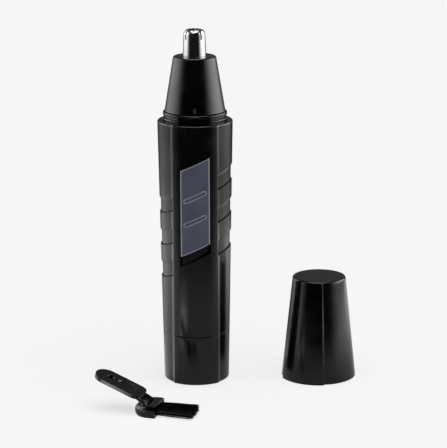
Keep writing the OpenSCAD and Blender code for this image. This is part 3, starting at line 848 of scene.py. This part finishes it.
def handle_pocket():
    """Cutter for the shallow groove, with a chamfer round its rim."""
    start, end, half = POCKET
    wide = half + 0.4
    bm, rims = bmesh.new(), []
    for r, z in ((half, HANDLE_T - 0.4), (half, HANDLE_T - 0.35), (wide, HANDLE_T + 0.05), (wide, 6)):
        rim = arc(end - half, 0, r, -90, 90, 16) + arc(start + half, 0, r, 90, 270, 16)
        rims.append([(x, y, z) for x, y in rim])
    loft(bm, rims)
    close_ends(bm, len(rims[0]))
    return bm


def hanging_hole():
    """Cutter for the hanging hole, which narrows towards the underside."""
    narrow, far = 0.6 * HANG_R, 9
    bm = bmesh.new()
    turned(bm, [(0, -far), (narrow, -far), (narrow, 0.3), (HANG_R, HANDLE_T + 0.01), (HANG_R, far), (0, far)])
    bm.transform(Matrix.Translation((HANG_X, 0, 0)))
    return bm


def build_brush_handle():
    """The brush's head, neck and handle as one moulding."""
    head, rings = bmesh.new(), []
    for z, inset in HEAD_RINGS:
        front = BRUSH_FRONT - 0.12 * inset
        side = BACK_R - 0.25 * inset
        back = [(BACK_X + x * (BACK_R - inset), y * side, z) for x, y in arc(0, 0, 1, 90, 270, 40)]
        rings.append([(front, -side, z), (front, side, z)] + back)
    loft(head, rings)
    close_ends(head, len(rings[0]))
    on_handle = (
        Matrix.Translation((HANDLE_FOOT[0], 0, HANDLE_FOOT[1]))
        @ Matrix.Rotation(math.pi + BRUSH_BEND, 4, "Z")
        @ Matrix.Rotation(-BRUSH_RISE, 4, "Y")
    )
    handle = prism_bm(handle_outline(), 0, HANDLE_T)
    bevel_rims(handle, 0.25)
    handle.transform(on_handle)
    piece = make_object("brush_body", head)
    cut(piece, neck_bm(), "UNION")
    cut(piece, handle, "UNION")
    for cutter in (handle_pocket(), hanging_hole()):
        cutter.transform(on_handle)
        cut(piece, cutter)
    cut(piece, box_bm((BRUSH_FRONT - 3, -SLOT_SIDE, SLOT_LOW), (5, SLOT_SIDE, SLOT_TOP)))
    piece.data.transform(Matrix.Scale(MM, 4) @ brush_place() @ Matrix.Scale(1 / MM, 4))
    return piece


def build_bristles():
    """A flat tuft of tapered filaments set in the head's slot, a little uneven at the tips."""
    rng = random.Random(7)
    bm = bmesh.new()
    root_x, tip_x = BRUSH_FRONT - 2.6, BRISTLE_TIP
    for _ in range(FILAMENTS):
        across, up = rng.uniform(-1, 1), rng.uniform(-1, 1)
        start = Vector((root_x, across * 4.0, 1.8 + up * 1.0))
        reach = tip_x - abs(rng.gauss(0, 0.45)) - (1.1 * rng.random() if rng.random() < 0.15 else 0)
        stray = rng.gauss(0, 0.35)
        end_y = max(-4.85, min(4.85, across * 4.55 + stray * 0.6))
        end_z = max(0.3, min(3.05, 1.68 + up * 1.2 + rng.gauss(0, 0.12)))
        bow = Vector((0, rng.gauss(0, 0.14), rng.gauss(0, 0.08)))
        thick = rng.uniform(0.075, 0.11)
        rings = []
        for t in (0, 0.25, 0.5, 0.75, 0.93, 1):
            p = start.lerp(Vector((reach, end_y, end_z)), t) + bow * math.sin(math.pi * t)
            r = thick * (1 - 0.45 * t) * (0.45 if t == 1 else 1)
            rings.append([
                (p.x, p.y + r * math.cos(a), p.z + r * math.sin(a))
                for a in (0.3, 0.3 + 2 * math.pi / 3, 0.3 + 4 * math.pi / 3)
            ])
        loft(bm, rings)
        bm.verts.ensure_lookup_table()
        bm.faces.new(bm.verts[-3:])
        bm.faces.new(bm.verts[-18:-15])
    bm.transform(brush_place())
    piece = make_object("brush_filaments", bm, 80)
    core = box_bm((BRUSH_FRONT - 3, 0.05 - SLOT_SIDE, 0.6), (BRUSH_FRONT - 0.5, SLOT_SIDE - 0.05, 3.05))
    bevel_rims(core, 0.2)
    core.transform(brush_place())
    return piece, make_object("brush_root", core)


# ------------------------------------------------------------------ materials

def new_material(name):
    material = bpy.data.materials.new(name)
    material.use_nodes = True
    return material, material.node_tree.nodes, material.node_tree.links


def finish_material(
    name, color, rough, metal=0.0, scale=900.0, vary=0.06, bump=0.02, stretch=(1, 1, 1), tint=0.15
):
    """A moulded, drawn or turned surface: its roughness, tone and relief vary with fine noise."""
    material, nodes, links = new_material(name)
    shader = nodes["Principled BSDF"]
    shader.inputs["Metallic"].default_value = metal
    shader.inputs["IOR"].default_value = 1.5
    place = nodes.new("ShaderNodeTexCoord")
    mapping = nodes.new("ShaderNodeMapping")
    mapping.inputs["Scale"].default_value = stretch
    links.new(place.outputs["Object"], mapping.inputs["Vector"])
    broad = nodes.new("ShaderNodeTexNoise")
    broad.inputs["Scale"].default_value = scale * 0.18
    broad.inputs["Detail"].default_value = 4
    fine = nodes.new("ShaderNodeTexNoise")
    fine.inputs["Scale"].default_value = scale * 2.6
    fine.inputs["Detail"].default_value = 2
    for noise in (broad, fine):
        links.new(mapping.outputs["Vector"], noise.inputs["Vector"])
    spread = nodes.new("ShaderNodeMapRange")
    spread.inputs["From Min"].default_value = 0.3
    spread.inputs["From Max"].default_value = 0.7
    spread.inputs["To Min"].default_value = max(rough - vary, 0.02)
    spread.inputs["To Max"].default_value = rough + vary
    links.new(broad.outputs["Fac"], spread.inputs["Value"])
    links.new(spread.outputs["Result"], shader.inputs["Roughness"])
    tone = nodes.new("ShaderNodeValToRGB")
    tone.color_ramp.elements[0].position = 0.3
    tone.color_ramp.elements[1].position = 0.7
    tone.color_ramp.elements[0].color = (*[c * (1 - tint) for c in color], 1)
    tone.color_ramp.elements[1].color = (*[min(c * (1 + tint), 1.0) for c in color], 1)
    links.new(broad.outputs["Fac"], tone.inputs["Fac"])
    links.new(tone.outputs["Color"], shader.inputs["Base Color"])
    relief = nodes.new("ShaderNodeBump")
    relief.inputs["Strength"].default_value = bump
    relief.inputs["Distance"].default_value = 0.00004
    links.new(fine.outputs["Fac"], relief.inputs["Height"])
    links.new(relief.outputs["Normal"], shader.inputs["Normal"])
    return material


def add_painted_edge_highlight(material, color):
    """Paints a highlight: mixes a lighter colour into the base colour along the bevel and the raised outlines.
    """
    nodes, links = material.node_tree.nodes, material.node_tree.links
    shader = nodes["Principled BSDF"]
    body = shader.inputs["Base Color"].links[0].from_socket
    edge = nodes.new("ShaderNodeAttribute")
    edge.attribute_name = "painted_edge_highlight"
    mix = nodes.new("ShaderNodeMix")
    mix.data_type = "RGBA"
    links.new(edge.outputs["Fac"], mix.inputs["Factor"])
    links.new(body, mix.inputs["A"])
    mix.inputs["B"].default_value = (*color, 1)
    links.new(mix.outputs["Result"], shader.inputs["Base Color"])


TURNED = (1, 1, 9)      # marks that run round a turned part
DRAWN = (6, 6, 0.4)     # marks that run along a drawn one

FINISHES = {
    "body_black": dict(color=(0.0013, 0.0013, 0.0015), rough=0.22, bump=0.03),
    "cone_black": dict(color=(0.0008, 0.0008, 0.0011), rough=0.24, bump=0.03),
    "cap_black": dict(color=(0.001, 0.001, 0.0014), rough=0.18, bump=0.02),
    "collar_black": dict(color=(0.0012, 0.0012, 0.0014), rough=0.13, bump=0.02),
    "button_grey": dict(color=(0.092, 0.098, 0.15), rough=0.42, bump=0.12, vary=0.05),
    "guard_steel": dict(color=(0.6, 0.605, 0.62), rough=0.13, metal=1.0, stretch=TURNED, bump=0.05, tint=0.04),
    "blade_steel": dict(color=(0.6, 0.61, 0.63), rough=0.3, metal=1.0, stretch=TURNED, bump=0.2, tint=0.06),
    "spring_steel": dict(color=(0.58, 0.57, 0.55), rough=0.28, metal=1.0, bump=0.1),
    "contact_nickel": dict(color=(0.66, 0.63, 0.56), rough=0.3, metal=1.0, stretch=DRAWN, bump=0.15),
    "contact_copper": dict(color=(0.75, 0.47, 0.26), rough=0.32, metal=1.0, stretch=DRAWN, bump=0.15),
    "bush_bronze": dict(color=(0.55, 0.37, 0.17), rough=0.48, metal=1.0, bump=0.35),
    "winding_copper": dict(
        color=(0.52, 0.17, 0.06), rough=0.3, metal=1.0, stretch=(1, 1, 30), bump=0.6, scale=500
    ),
    "motor_zinc": dict(color=(0.6, 0.61, 0.63), rough=0.36, metal=1.0, stretch=TURNED, bump=0.15),
    "shaft_steel": dict(color=(0.7, 0.7, 0.72), rough=0.16, metal=1.0, stretch=TURNED, bump=0.08),
    "magnet_ferrite": dict(color=(0.035, 0.036, 0.04), rough=0.6, bump=0.4),
    "laminations": dict(color=(0.24, 0.25, 0.27), rough=0.45, metal=1.0, stretch=(0.2, 0.2, 14), bump=0.5),
    "nylon_white": dict(color=(0.74, 0.72, 0.66), rough=0.42, bump=0.1, tint=0.04),
    "frame_grey": dict(color=(0.045, 0.046, 0.05), rough=0.5, bump=0.3),
    "slider_grey": dict(color=(0.09, 0.095, 0.11), rough=0.45, bump=0.2),
    "seal_rubber": dict(color=(0.015, 0.015, 0.015), rough=0.65, bump=0.3),
    "battery_zinc": dict(color=(0.55, 0.56, 0.58), rough=0.33, metal=1.0, stretch=TURNED, bump=0.1),
    "battery_wrap": dict(color=(0.09, 0.15, 0.2), rough=0.28, bump=0.05),
    "battery_paper": dict(color=(0.72, 0.7, 0.64), rough=0.75, bump=0.5, scale=1800),
    "battery_nub": dict(color=(0.68, 0.68, 0.66), rough=0.22, metal=1.0, bump=0.08),
    "lead_red": dict(color=(0.38, 0.02, 0.018), rough=0.4, bump=0.1),
    "lead_black": dict(color=(0.012, 0.012, 0.013), rough=0.4, bump=0.1),
    "screw_steel": dict(color=(0.45, 0.46, 0.49), rough=0.28, metal=1.0, bump=0.15),
    "brush_black": dict(color=(0.0014, 0.0014, 0.0016), rough=0.2, bump=0.05),
    "bristle_nylon": dict(color=(0.003, 0.003, 0.0032), rough=0.28, stretch=(1, 8, 8), bump=0.1, tint=0.5),
}
MATERIALS = {name: finish_material(name, **values) for name, values in FINISHES.items()}
# Painted highlight along the button's bevel and oval outlines.
add_painted_edge_highlight(MATERIALS["button_grey"], (0.42, 0.43, 0.5))


def dress(piece, slot_name):
    """Gives a piece the material of a slot in place of its own."""
    piece.data.materials.clear()
    piece.data.materials.append(MATERIALS[slot_name])


SLOT_OF = {s["node"]: s["material_slot"] for s in frame["record"]["subparts"]}
for node_name, slot_name in SLOT_OF.items():
    dress(NODES[node_name], slot_name)

BODIES = frame["record"]["behaviour"]["bodies"]
BODY_OF = {node: body for body, nodes in BODIES.items() for node in nodes}


def stand_for(piece, node):
    """Gives a piece the finish and the CAD body of the node that it stands for."""
    slot_name = SLOT_OF[node]
    dress(piece, slot_name)
    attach(piece, BODY_OF[node])
    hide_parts(node)


stand_for(build_housing(), "housing")
stand_for(build_base(), "base_shell")
stand_for(build_neck(), "neck_collar")
stand_for(build_neck_mark(), "neck_collar")
stand_for(build_cone(), "head_cone")
stand_for(build_guard(), "cutter_guard")
for button_piece in build_button():
    stand_for(button_piece, "switch_button")
stand_for(build_cap(), "protective_cap")
stand_for(build_brush_handle(), "brush_handle")
for tuft_piece in build_bristles():
    stand_for(tuft_piece, "brush_bristles")


# ------------------------------------------------------------------ studio

def glowing(name, bm, glow):
    """A surface that only reflections see. glow(point in metres) is its brightness."""
    layer = bm.verts.layers.float.new("glow")
    for v in bm.verts:
        v[layer] = glow(v.co)
    mesh = bpy.data.meshes.new(name)
    bm.to_mesh(mesh)
    bm.free()
    piece = bpy.data.objects.new(name, mesh)
    bpy.context.scene.collection.objects.link(piece)
    material, nodes, links = new_material(name)
    nodes.remove(nodes["Principled BSDF"])
    light = nodes.new("ShaderNodeEmission")
    level = nodes.new("ShaderNodeAttribute")
    level.attribute_name = "glow"
    links.new(level.outputs["Fac"], light.inputs["Strength"])
    links.new(light.outputs["Emission"], nodes["Material Output"].inputs["Surface"])
    material.cycles.emission_sampling = "NONE"
    mesh.materials.append(material)
    piece.visible_camera = False
    piece.visible_diffuse = False
    piece.visible_shadow = False


LEFT_BOX, RIGHT_BOX, TOP_BOX = 2.8, 4.0, 3.0     # brightness of the studio's soft boxes
DIM = 0.012                                     # brightness of its dark parts
ROOM_R, TABLE_R, TABLE_Z = 1.7, 0.36, 0.0003    # in metres
BEHIND = 0.97                                   # share of the side light that is lost behind the object
FRONT_TABLE = 0.42                              # brightness of the table just in front of the object
BRUSH_GLOW, BRUSH_GLOW_AT = 4.5, (-0.052, -0.063)    # a bright spot of table in front of the brush


def side_light(x, y):
    """Brightness of the soft boxes in a level direction: dark in front, full at the sides, dark behind."""
    bearing = math.degrees(math.atan2(abs(x), -y))
    if x < 0:
        return LEFT_BOX * ramp(bearing, 50, 98) * (1 - BEHIND * ramp(bearing, 115, 160))
    return RIGHT_BOX * ramp(bearing, 42, 96) * (1 - BEHIND * ramp(bearing, 110, 152))


def room_glow(p):
    """The dark studio round the object: side boxes, dimmer below the table's height, and a box overhead."""
    height = math.degrees(math.atan2(p.z - 0.1, math.hypot(p.x, p.y)))
    low = 0.27 + 0.73 * ramp(height, -12, 3)
    high = 1 - ramp(height, 30, 50)
    return DIM + side_light(p.x, p.y) * low * high + TOP_BOX * ramp(height, 60, 70)


def blend3(near, middle, far, rim, r):
    """Brightness at a distance on the table: near the object, at its middle and from its rim on."""
    return near + (middle - near) * ramp(r, 0.05, 0.2) + (far - middle) * ramp(r, 0.2, rim)


def table_glow(p):
    """The pale table as the object sees it, brighter towards its sides than in front."""
    bearing = math.degrees(math.atan2(abs(p.x), -p.y))
    r = math.hypot(p.x, p.y)
    front = FRONT_TABLE + (DIM - FRONT_TABLE) * ramp(r, 0.11, 0.2)
    side = blend3(1.0, 1.6, 0.75, 0.33, r) if p.x < 0 else blend3(0.42, 1.6, 0.55, 0.26, r)
    behind = 1 - 0.85 * ramp(bearing, 118, 160) * ramp(r, 0.02, 0.08)
    by_brush = BRUSH_GLOW * (1 - ramp(math.dist(p.xy, BRUSH_GLOW_AT), 0.006, 0.022))
    return front + (side * behind - front) * ramp(bearing, 44, 86) + by_brush


def build_reflections():
    """The room and the table as reflections see them."""
    room = bmesh.new()
    bmesh.ops.create_uvsphere(room, u_segments=120, v_segments=60, radius=ROOM_R)
    glowing("room", room, room_glow)
    table = bmesh.new()
    rings = [[(0, 0, TABLE_Z)]]
    for r in spaced(0.005, TABLE_R, 71):
        rings.append([(r * math.sin(a), r * math.cos(a), TABLE_Z) for a in spaced(0, 2 * math.pi, 96)[:-1]])
    loft(table, rings)
    glowing("table", table, table_glow)


def build_floor():
    """The pale floor that the camera sees."""
    mesh = bpy.data.meshes.new("floor")
    bm = bmesh.new()
    bmesh.ops.create_grid(bm, x_segments=24, y_segments=24, size=9)
    bm.to_mesh(mesh)
    bm.free()
    floor = bpy.data.objects.new("floor", mesh)
    bpy.context.scene.collection.objects.link(floor)
    material, nodes, links = new_material("paper_sweep")
    shader = nodes["Principled BSDF"]
    shader.inputs["Base Color"].default_value = (0.62, 0.62, 0.62, 1)
    shader.inputs["Roughness"].default_value = 0.9
    shader.inputs["Emission Color"].default_value = (1, 1, 1, 1)
    shader.inputs["Emission Strength"].default_value = 0.69
    shader.inputs["Specular IOR Level"].default_value = 0
    mesh.materials.append(material)
    floor.visible_glossy = False


def add_key_light():
    """A broad, soft light from nearly overhead."""
    light = bpy.data.lights.new("key", "SUN")
    light.energy = 1.2
    light.angle = math.radians(70)
    lamp = bpy.data.objects.new("key", light)
    lamp.rotation_euler = (math.radians(10), 0, math.radians(20))
    lamp.visible_glossy = False
    bpy.context.scene.collection.objects.link(lamp)


def build_studio():
    build_floor()
    build_reflections()
    add_key_light()
    world = bpy.data.worlds.new("studio")
    world.use_nodes = True
    world.node_tree.nodes["Background"].inputs["Strength"].default_value = 0
    bpy.context.scene.world = world


CAMERA_AT = (0.01005, -0.739, 0.2402)
CAMERA_DOWN = math.radians(13.9)        # how far it looks down
CAMERA_ROLL = -0.0041


def build_camera():
    camera = bpy.data.objects.new("camera", bpy.data.cameras.new("camera"))
    camera.data.lens = 168.75
    camera.data.clip_end = 20
    look = Matrix.Rotation(math.pi / 2 - CAMERA_DOWN, 4, "X") @ Matrix.Rotation(CAMERA_ROLL, 4, "Z")
    camera.matrix_world = Matrix.Translation(CAMERA_AT) @ look
    bpy.context.scene.collection.objects.link(camera)
    bpy.context.scene.camera = camera


build_studio()
build_camera()
bpy.context.scene.view_settings.view_transform = "Standard"
